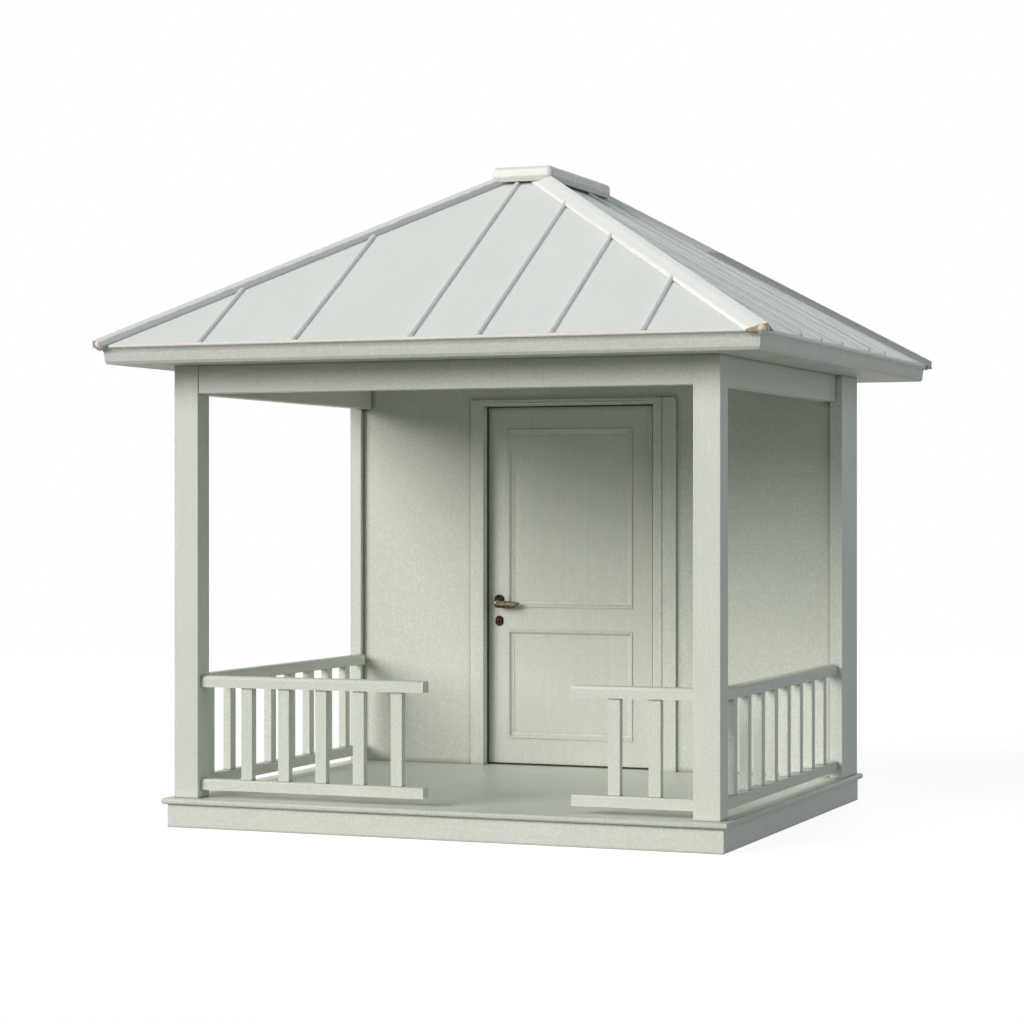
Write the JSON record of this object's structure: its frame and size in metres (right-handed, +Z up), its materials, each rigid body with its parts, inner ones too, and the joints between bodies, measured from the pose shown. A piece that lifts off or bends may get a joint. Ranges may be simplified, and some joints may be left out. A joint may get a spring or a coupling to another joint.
{
  "type": "porch",
  "caption": "Free-standing timber porch with a hipped standing-seam roof, corner posts, low baluster railings and a back wall with a hinged panelled door.",
  "frame": {"origin": "on the ground under the middle of the roof", "axes": "+X to the right seen from the entrance, +Y towards the back wall, +Z up"},
  "size_m": [3.4896, 3.3636, 3.398],
  "materials": {
    "painted_timber": "pale grey-green satin paint",
    "deck_paint": "grey-green floor paint",
    "bare_timber": "bare sawn softwood",
    "roof_metal": "pale blue-grey coated sheet",
    "bronze": "dark bronzed brass",
    "hinge_steel": "plain steel"
  },
  "bodies": {
    "porch": {"ceiling_board": "painted_timber", "deck_floor": "deck_paint", "deck_nosing": "painted_timber", "door_frame": "painted_timber", "drip_edge": "roof_metal", "fascia": "painted_timber", "floor_joists": "bare_timber", "frame_hinges": "hinge_steel", "front_beam": "painted_timber", "front_casing": "painted_timber", "front_left_balusters": "painted_timber", "front_left_post": "painted_timber", "front_left_rails": "painted_timber", "front_right_balusters": "painted_timber", "front_right_post": "painted_timber", "front_right_rails": "painted_timber", "hip_rolls": "roof_metal", "left_balusters": "painted_timber", "left_beam": "painted_timber", "left_rails": "painted_timber", "rear_beam": "painted_timber", "rear_casing": "painted_timber", "rear_left_post": "painted_timber", "rear_right_post": "painted_timber", "ridge_cap": "roof_metal", "right_balusters": "painted_timber", "right_beam": "painted_timber", "right_rails": "painted_timber", "roof_back": "roof_metal", "roof_front": "roof_metal", "roof_left": "roof_metal", "roof_right": "roof_metal", "skirt_back": "painted_timber", "skirt_front": "painted_timber", "skirt_left": "painted_timber", "skirt_right": "painted_timber", "soffit_boards": "painted_timber", "wall_left": "painted_timber", "wall_over_door": "painted_timber", "wall_right": "painted_timber"},
    "door": {"door_leaf": "painted_timber", "door_panels": "painted_timber", "leaf_hinges": "hinge_steel", "lock_plates": "bronze"},
    "lever": {"lever_handle": "bronze"}
  },
  "joints": [
    {"name": "door_hinge", "type": "hinge", "parent": "porch", "child": "door", "pos_m": [0.3545, 0.884, 0.159], "axis": [0, 0, -1], "range_deg": [0, 100]},
    {"name": "lever_turn", "type": "hinge", "parent": "door", "child": "lever", "pos_m": [-0.564, 0.832, 1.077], "axis": [0, 1, 0], "range_deg": [0, 45], "stiffness_Nm_per_rad": 1.2}
  ]
}
